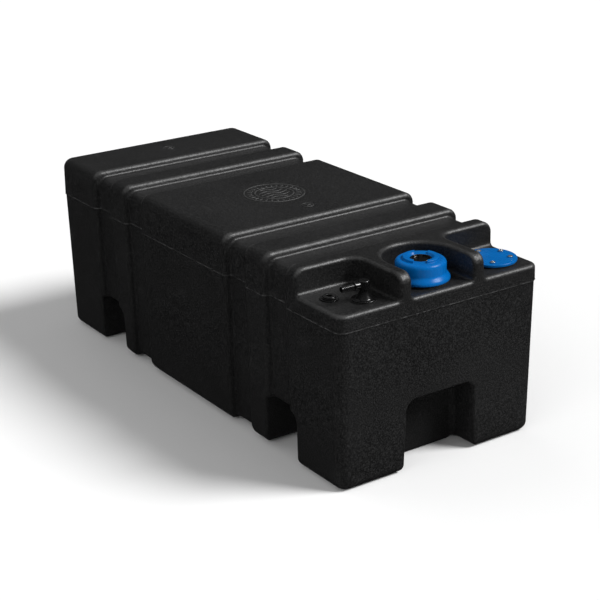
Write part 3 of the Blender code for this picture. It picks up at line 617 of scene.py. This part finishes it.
def body_grid(fine):
    """Grid that is fine on the body's edges and fillets, and three times as wide on its flats."""
    groove_side = 28 * MM
    reach = 11 * MM
    x_bands = [(-WIDTH / 2, LEFT_EDGE + 26 * MM), (RIGHT_EDGE - 24 * MM, WIDTH / 2), (-48 * MM, 48 * MM)]
    y_bands = [(FRONT, BAY_BACK + 9 * MM), (REAR - 24 * MM, REAR)]
    y_bands.append((GROOVES[0] - 75 * MM, GROOVES[0] + 45 * MM))
    for centre in GROOVES:
        for middle in (centre - groove_side, centre + groove_side):
            y_bands.append((middle - reach, middle + reach))
    z_bands = [(0, 24 * MM), (70 * MM, 112 * MM), (DECK - 14 * MM, HEIGHT)]
    axes = [ticks(SHELL_LOW[i], SHELL_HIGH[i], bands, fine, 3 * fine)
            for i, bands in enumerate((x_bands, y_bands, z_bands))]
    axes[2] = np.union1d(axes[2], PARTING + np.arange(-2.5, 2.6, 0.5) * MM)
    return axes


BODY_STEP = 2.0 * MM
sculpt("tank_skin", tank, body_grid(BODY_STEP), BODY_STEP, BODY_LOOK, "tank_shell")


# --- Marks in the lid -------------------------------------------------------------------------------

MARK_STEP = 0.8 * MM
MARK_HALF = 48 * MM
MARK_BASE = HEIGHT - 1.3 * MM
SPOT_STEP = 0.45 * MM
SPOT_BASE = HEIGHT - 1.2 * MM


def lid_mark(x, y, z):
    """Plain raised mark in the lid's round recess: two rings, a ring of studs and wavy bars."""
    outer_ring = 47 * MM
    inner_ring = 30 * MM
    stud_circle = 38.5 * MM
    half_studs = 14
    bar_pitch = 10 * MM
    radius = from_axis(x, y, BADGE_CENTRE)
    turn = np.arctan2(y - BADGE_CENTRE.y, x)
    rings = np.minimum(np.abs(radius - outer_ring), np.abs(radius - inner_ring)) - 1.2 * MM
    across_stud = radius * np.abs(np.sin(turn * half_studs)) / half_studs
    studs = both(np.abs(radius - stud_circle) - 4 * MM, across_stud - 1.5 * MM, 0.8 * MM)
    wave = y - BADGE_CENTRE.y + 3 * MM * np.sin(x / (6 * MM))
    bars = np.abs(np.mod(wave + bar_pitch / 2, bar_pitch) - bar_pitch / 2) - 1.6 * MM
    bars = np.maximum(bars, radius - 25 * MM)
    raised = both(np.minimum(np.minimum(rings, studs), bars), z - MARK_TOP, 0.4 * MM)
    return np.maximum(raised, MARK_BASE - z)


def spot_field(centre):
    """Field of a small raised mark: a ring round a three-armed star."""
    arm_rate = 1.5

    def field(x, y, z):
        radius = from_axis(x, y, centre)
        turn = np.arctan2(y - centre.y, x - centre.x)
        ring = np.abs(radius - 9 * MM) - 0.8 * MM
        across_arm = radius * np.abs(np.sin(turn * arm_rate)) / arm_rate
        arms = np.maximum(across_arm - 0.9 * MM, radius - 6.5 * MM)
        raised = both(np.minimum(ring, arms), z - MARK_TOP, 0.3 * MM)
        return np.maximum(raised, SPOT_BASE - z)

    return field


def mark_grid(centre, half, base, step):
    """Even grid round a mark in the lid."""
    low = (centre.x - half, centre.y - half, base)
    high = (centre.x + half, centre.y + half, HEIGHT)
    return even(low, high, step)


badge_grid = mark_grid(BADGE_CENTRE, MARK_HALF, MARK_BASE, MARK_STEP)
sculpt("lid_mark", lid_mark, badge_grid, MARK_STEP, BODY_LOOK)
for number, spot_centre in enumerate(SPOT_CENTRES, 1):
    spot_grid = mark_grid(spot_centre, SPOT_RADIUS, SPOT_BASE, SPOT_STEP)
    sculpt("small_mark_%d" % number, spot_field(spot_centre), spot_grid, SPOT_STEP, BODY_LOOK)


# --- Filler cap -------------------------------------------------------------------------------------

CAP_STEP = 0.6 * MM
VENT_STEP = 0.35 * MM
CAP_CROWN = DECK + 31.5 * MM
SLOT_TURN = math.radians(50)


def turned_slot(x, y, half):
    """Distance from a straight slot through the cap's axis, turned like its collar."""
    across = (y - CAP_CENTRE.y) * math.cos(SLOT_TURN) - (x - CAP_CENTRE.x) * math.sin(SLOT_TURN)
    return np.abs(across) - half


def cap(x, y, z):
    """Screw cap: flared skirt, rounded shoulder and a slotted collar with a sloped inner wall."""
    foot = CAP_LOW.z
    wall = 35.6 * MM
    collar_wall = 25.4 * MM
    collar_rise = 3.6 * MM
    inner_slope = 0.85
    radius = from_axis(x, y, CAP_CENTRE)
    flare = (1 - smooth_step(z, foot + 2.5 * MM, foot + 12 * MM)) * 5.5 * MM
    body = both(radius - wall - flare, z - CAP_CROWN, 6 * MM)
    body = both(body, foot - z, 1.2 * MM)
    inner = 15.4 * MM + np.clip(z - CAP_CROWN, 0, 1) * inner_slope
    collar = both(radius - collar_wall, z - CAP_CROWN - collar_rise, 1.3 * MM)
    collar = both(collar, CAP_CROWN - 3 * MM - z, 0.5 * MM)
    collar = less(collar, radius - inner, 1.2 * MM)
    slot = np.maximum(turned_slot(x, y, 9 * MM), CAP_CROWN - z)
    collar = less(collar, slot, 1.0 * MM)
    body = either(body, collar, 1.0 * MM)
    body = less(body, np.maximum(radius - 15.3 * MM, CAP_CROWN - 4 * MM - z), 0.5 * MM)
    return less(body, np.maximum(radius - 32.5 * MM, z - CAP_CROWN + 3 * MM), 0.5 * MM)


def vent(x, y, z):
    """Breather insert: a rimmed cup with a bar across it, hollow below."""
    top = VENT_HIGH.z
    cup = 12.8 * MM
    radius = from_axis(x, y, CAP_CENTRE)
    body = both(radius - 15 * MM, z - top, 0.7 * MM)
    body = both(body, VENT_LOW.z - z, 0.3 * MM)
    body = less(body, np.maximum(radius - cup, top - 2.6 * MM - z), 0.5 * MM)
    bar = np.maximum(turned_slot(x, y, 2.2 * MM), radius - 13 * MM)
    bar = both(bar, z - top + 0.4 * MM, 0.5 * MM)
    bar = np.maximum(bar, top - 3.2 * MM - z)
    body = either(body, bar, 0.4 * MM)
    return less(body, np.maximum(radius - cup, z - top + 3.8 * MM), 0.3 * MM)


sculpt("cap_moulding", cap, even(CAP_LOW, CAP_HIGH, CAP_STEP), CAP_STEP, CAP_LOOK, "filler_cap")
sculpt("vent_moulding", vent, even(VENT_LOW, VENT_HIGH, VENT_STEP), VENT_STEP, VENT_LOOK, "vent_insert")


# --- Sender cover -----------------------------------------------------------------------------------

SENDER_STEP = 0.5 * MM
SENDER_RADIUS = (SENDER_HIGH.x - SENDER_LOW.x) / 2
SENDER_THICKNESS = 4.0 * MM
SENDER_SPIGOT = 17.5 * MM
SCREW_STEP = 0.22 * MM
SCREW_HEAD_RADIUS = 3.8 * MM
SCREW_HEAD_HEIGHT = 2.4 * MM
SCREW_DOME = 7 * MM
SCREW_SHANK = 1.9 * MM
CROSS_REACH = 2.1 * MM
CROSS_HALF = 0.45 * MM
CROSS_DEPTH = 1.3 * MM


def sender(x, y, z):
    """Blank cover with a rounded rim and a spigot below."""
    top = SENDER_HIGH.z
    radius = from_axis(x, y, SENDER_CENTRE)
    body = both(radius - SENDER_RADIUS, z - top, 1.5 * MM)
    body = both(body, top - SENDER_THICKNESS - z, 0.5 * MM)
    spigot = np.maximum(radius - SENDER_SPIGOT, np.maximum(z - top + 1 * MM, SENDER_LOW.z - z))
    return np.minimum(body, spigot)


def screw_field(low, high, turn):
    """Field of a pan-head screw with a cross recess."""
    centre = (low + high) / 2
    under_head = high.z - SCREW_HEAD_HEIGHT

    def field(x, y, z):
        radius = from_axis(x, y, centre)
        dome = np.sqrt(radius ** 2 + (z - high.z + SCREW_DOME) ** 2) - SCREW_DOME
        head = both(np.maximum(radius - SCREW_HEAD_RADIUS, dome), under_head - z, 0.25 * MM)
        shank = np.maximum(radius - SCREW_SHANK, np.maximum(z - under_head - 1 * MM, low.z - z))
        along = np.abs((x - centre.x) * math.cos(turn) + (y - centre.y) * math.sin(turn))
        across = np.abs((y - centre.y) * math.cos(turn) - (x - centre.x) * math.sin(turn))
        floor = high.z - CROSS_DEPTH - z
        reach = CROSS_REACH - 0.25 * (high.z - z)
        first = np.maximum(np.maximum(along - reach, across - CROSS_HALF), floor)
        second = np.maximum(np.maximum(across - reach, along - CROSS_HALF), floor)
        return less(np.minimum(head, shank), np.minimum(first, second), 0.12 * MM)

    return field


def screw_grid(low, high):
    """Even grid round a screw, six times as wide along its shank."""
    axes = even(low, high, SCREW_STEP)
    in_head = axes[2] >= high.z - 3 * MM
    axes[2] = np.concatenate([axes[2][~in_head][::6], axes[2][in_head]])
    return axes


sculpt("sender_cover", sender, even(SENDER_LOW, SENDER_HIGH, SENDER_STEP), SENDER_STEP, COVER_LOOK,
       "sender_plate")
for number in SENDER_SCREWS:
    node_name = "sender_screw_%d" % number
    screw_low, screw_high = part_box(node_name)
    screw = screw_field(screw_low, screw_high, 0.7 * number)
    sculpt("screw_%d" % number, screw, screw_grid(screw_low, screw_high), SCREW_STEP, SCREW_LOOK, node_name)


# --- Outlet -----------------------------------------------------------------------------------------

BASE_STEP = 0.4 * MM
ELBOW_STEP = 0.35 * MM
FLANGE_RADIUS = (BASE_HIGH.x - BASE_LOW.x) / 2
FLANGE_SEAT = DECK + 1.8 * MM
FLANGE_TOP = FLANGE_SEAT + 1.6 * MM
STEM_RADIUS = 6.2 * MM
OUTLET_BORE = 3.2 * MM
SPOUT_HEIGHT = DECK + 23 * MM
SPOUT_END = BASE_CENTRE.x - ELBOW_LOW.x
SPOUT_RADIUS = 3.8 * MM
SPOUT_BORE = 2.6 * MM
ELBOW_RADIUS = ELBOW_HIGH.x - BASE_CENTRE.x
BARB_PITCH = 5.8 * MM
BARB_LENGTH = 3 * BARB_PITCH
BARB_RISE = 0.85 * MM


def outlet_base(x, y, z):
    """Wide thin flange and a stem that narrows in one smooth flare."""
    radius = from_axis(x, y, BASE_CENTRE)
    flange = both(radius - FLANGE_RADIUS, z - FLANGE_TOP, 0.7 * MM)
    flange = both(flange, FLANGE_SEAT - z, 0.3 * MM)
    flare = 5.5 * MM * (1 - np.clip((z - FLANGE_TOP) / (11.6 * MM), 0, 1)) ** 1.35
    ends = np.maximum(z - BASE_HIGH.z, FLANGE_TOP - 1 * MM - z)
    stem = np.maximum(radius - STEM_RADIUS - flare, ends)
    seal_groove = np.maximum(5.0 * MM - radius, np.abs(z - ELBOW_LOW.z - 1.5 * MM) - 0.9 * MM)
    stem = np.maximum(stem, -seal_groove)
    tail = np.maximum(radius - 9.8 * MM, np.maximum(z - FLANGE_SEAT - 1 * MM, BASE_LOW.z - z))
    body = np.minimum(either(flange, stem, 0.8 * MM), tail)
    bore = np.where(z < BASE_LOW.z + 10 * MM, 6.1 * MM, OUTLET_BORE)
    return np.maximum(body, bore - radius)


def outlet_elbow(x, y, z):
    """Swivel elbow with a collar and a ridged hose barb."""
    radius = from_axis(x, y, BASE_CENTRE)
    body = both(radius - ELBOW_RADIUS, z - ELBOW_HIGH.z, 2.0 * MM)
    body = both(body, ELBOW_LOW.z - z, 0.6 * MM)
    reach = BASE_CENTRE.x - x
    spout = np.sqrt((y - BASE_CENTRE.y) ** 2 + (z - SPOUT_HEIGHT) ** 2)
    place = reach - (SPOUT_END - 1.5 * MM - BARB_LENGTH)
    in_barb = (place > 0) & (place < BARB_LENGTH)
    saw = np.where(in_barb, 1 - np.mod(place, BARB_PITCH) / BARB_PITCH, 0)
    sleeve = np.where(reach < 15 * MM, 0.4 * MM, 0)
    tube = both(spout - SPOUT_RADIUS - BARB_RISE * saw - sleeve, reach - SPOUT_END, 0.5 * MM)
    tube = np.maximum(tube, -reach)
    collar = both(spout - 6.0 * MM, np.abs(reach - 16 * MM) - 1.0 * MM, 0.5 * MM)
    body = either(body, either(tube, collar, 0.5 * MM), 1.0 * MM)
    body = np.maximum(body, -np.maximum(spout - SPOUT_BORE, -reach))
    well = np.maximum(radius - 6.7 * MM, z - BASE_HIGH.z - 0.5 * MM)
    chimney = np.maximum(radius - OUTLET_BORE, z - ELBOW_HIGH.z + 1.8 * MM)
    button_hole = radius - 2.0 * MM
    return np.maximum(np.maximum(body, -well), np.maximum(-chimney, -button_hole))


sculpt("outlet_stem", outlet_base, even(BASE_LOW, BASE_HIGH, BASE_STEP), BASE_STEP, FITTING_LOOK,
       "outlet_base")
sculpt("elbow_moulding", outlet_elbow, even(ELBOW_LOW, ELBOW_HIGH, ELBOW_STEP), ELBOW_STEP, ELBOW_LOOK,
       "outlet_elbow")


# --- Blanking plug ----------------------------------------------------------------------------------

PLUG_STEP = 0.35 * MM
PLUG_UNDER_HEAD = PLUG_HIGH.z - 1.8 * MM


def plug(x, y, z):
    """Blanking plug: rounded head, hexagon socket."""
    radius = from_axis(x, y, PLUG_CENTRE)
    body = both(radius - 9.4 * MM, z - PLUG_HIGH.z, 0.9 * MM)
    body = both(body, PLUG_UNDER_HEAD - z, 0.3 * MM)
    ends = np.maximum(z - PLUG_UNDER_HEAD - 1 * MM, PLUG_LOW.z - z)
    shank = np.maximum(radius - 6.6 * MM, ends)
    hexagon = np.abs(x - PLUG_CENTRE.x)
    for angle in (math.pi / 3, -math.pi / 3):
        side = (x - PLUG_CENTRE.x) * math.cos(angle) + (y - PLUG_CENTRE.y) * math.sin(angle)
        hexagon = np.maximum(hexagon, np.abs(side))
    socket = np.maximum(hexagon - 4.0 * MM, PLUG_UNDER_HEAD - 1 * MM - z)
    return less(np.minimum(body, shank), socket, 0.3 * MM)


def bush(x, y, z):
    """Bush round the blanking plug."""
    radius = from_axis(x, y, PLUG_CENTRE)
    flange = both(radius - 12.8 * MM, z - BUSH_HIGH.z, 0.5 * MM)
    flange = both(flange, DECK + SEAT_GAP - z, 0.2 * MM)
    barrel = np.maximum(radius - 9 * MM, np.maximum(z - DECK - 0.8 * MM, BUSH_LOW.z - z))
    return np.maximum(np.minimum(flange, barrel), 6.9 * MM - radius)


sculpt("plug_moulding", plug, even(PLUG_LOW, PLUG_HIGH, PLUG_STEP), PLUG_STEP, FITTING_LOOK, "blank_plug")
sculpt("plug_seat", bush, even(BUSH_LOW, BUSH_HIGH, PLUG_STEP), PLUG_STEP, FITTING_LOOK, "plug_bush")


# --- CAD nodes that stay ----------------------------------------------------------------------------

KEPT = {"filler_neck": black, "neck_nut": black, "outlet_nut": black, "elbow_button": black,
        "strainer": black, "neck_gasket": rubber, "cap_seal": rubber, "sender_gasket": rubber,
        "outlet_gasket": rubber, "elbow_oring": rubber, "plug_oring": rubber, "vent_filter": foam,
        "dip_tube": natural}
KEPT.update({"sender_insert_%d" % number: brass for number in SENDER_SCREWS})
for node_name, kept_finish in KEPT.items():
    for slot in frame["nodes"][node_name].material_slots:
        slot.material = kept_finish


# --- Studio -----------------------------------------------------------------------------------------

BACKDROP_RADIUS = 55
FLOOR_GAP = 0.2 * MM
CAMERA_AZIMUTH = math.radians(-34.074)
CAMERA_ELEVATION = math.radians(21.060)
CAMERA_ROLL = math.radians(-1.135)
CAMERA_PLACE = Vector((-1.2473, -1.9006, 0.9944))
CAMERA_LENS = 92.16
SENSOR_WIDTH = 36


def add_floor():
    """Large pale floor under the tank, left out of glossy reflections."""
    bm = bmesh.new()
    bmesh.ops.create_grid(bm, x_segments=8, y_segments=8, size=BACKDROP_RADIUS)
    mesh = bpy.data.meshes.new("studio_floor")
    bm.to_mesh(mesh)
    bm.free()
    mesh.materials.append(floor_finish())
    floor = bpy.data.objects.new("studio_floor", mesh)
    floor.location.z = START_LOW[2] - FLOOR_GAP
    floor.visible_glossy = False
    bpy.context.scene.collection.objects.link(floor)


def backdrop_glow():
    """Plain white glow that isn't sampled as a light."""
    material = bpy.data.materials.new("studio_backdrop")
    material.use_nodes = True
    material.cycles.emission_sampling = "NONE"
    shader = material.node_tree.nodes["Principled BSDF"]
    shader.inputs["Base Color"].default_value = (0, 0, 0, 1)
    shader.inputs["Specular IOR Level"].default_value = 0
    shader.inputs["Emission Color"].default_value = (1, 1, 1, 1)
    shader.inputs["Emission Strength"].default_value = 1.0
    return material


def add_backdrop():
    """Pale dome far behind the floor. It only fills the view, and lights and shades nothing."""
    bm = bmesh.new()
    bmesh.ops.create_uvsphere(bm, u_segments=48, v_segments=24, radius=BACKDROP_RADIUS)
    mesh = bpy.data.meshes.new("studio_backdrop")
    bm.to_mesh(mesh)
    bm.free()
    mesh.materials.append(backdrop_glow())
    dome = bpy.data.objects.new("studio_backdrop", mesh)
    dome.visible_diffuse = False
    dome.visible_glossy = False
    dome.visible_shadow = False
    bpy.context.scene.collection.objects.link(dome)


def add_softbox(name, direction, strength, spread, glossy):
    """Far, large softbox in a direction. Spread is its width in degrees, and a fill isn't glossy, so
    that the tank doesn't mirror it."""
    data = bpy.data.lights.new(name, "SUN")
    data.energy = strength
    data.angle = math.radians(spread)
    lamp = bpy.data.objects.new(name, data)
    lamp.rotation_euler = Vector(direction).to_track_quat("Z", "Y").to_euler()
    lamp.visible_glossy = glossy
    bpy.context.scene.collection.objects.link(lamp)


def add_world(top, horizon):
    """Soft sky: brighter overhead than low down."""
    world = bpy.data.worlds.new("studio")
    bpy.context.scene.world = world
    world.use_nodes = True
    tree = world.node_tree
    place = tree.nodes.new("ShaderNodeTexCoord")
    split = tree.nodes.new("ShaderNodeSeparateXYZ")
    ramp = tree.nodes.new("ShaderNodeMapRange")
    tree.links.new(place.outputs["Generated"], split.inputs["Vector"])
    tree.links.new(split.outputs["Z"], ramp.inputs["Value"])
    ramp.inputs["From Min"].default_value = 0.35
    ramp.inputs["From Max"].default_value = 1.0
    ramp.inputs["To Min"].default_value = horizon
    ramp.inputs["To Max"].default_value = top
    tree.links.new(ramp.outputs["Result"], tree.nodes["Background"].inputs["Strength"])
    tree.nodes["Background"].inputs["Color"].default_value = (1, 1, 1, 1)


def add_camera():
    """Camera at the photograph's viewing angle."""
    level = math.cos(CAMERA_ELEVATION)
    back = Vector((math.sin(CAMERA_AZIMUTH) * level, -math.cos(CAMERA_AZIMUTH) * level,
                   math.sin(CAMERA_ELEVATION)))
    right = Vector((math.cos(CAMERA_AZIMUTH), math.sin(CAMERA_AZIMUTH), 0))
    up = back.cross(right)
    tilted_right = math.cos(CAMERA_ROLL) * right + math.sin(CAMERA_ROLL) * up
    tilted_up = math.cos(CAMERA_ROLL) * up - math.sin(CAMERA_ROLL) * right
    matrix = Matrix((tilted_right, tilted_up, back)).transposed().to_4x4()
    matrix.translation = CAMERA_PLACE
    data = bpy.data.cameras.new("photo_camera")
    data.lens = CAMERA_LENS
    data.sensor_width = SENSOR_WIDTH
    camera = bpy.data.objects.new("photo_camera", data)
    camera.matrix_world = matrix
    bpy.context.scene.collection.objects.link(camera)
    bpy.context.scene.camera = camera


add_floor()
add_backdrop()
add_world(top=0.34, horizon=0.02)
add_softbox("key_softbox", (0.52, -0.44, 0.68), strength=3.9, spread=24, glossy=True)
add_softbox("left_fill", (-0.88, -0.30, 0.36), strength=1.3, spread=60, glossy=False)
add_softbox("back_fill", (-0.25, 0.80, 0.55), strength=0.7, spread=70, glossy=False)
add_camera()
bpy.context.scene.view_settings.view_transform = "Standard"
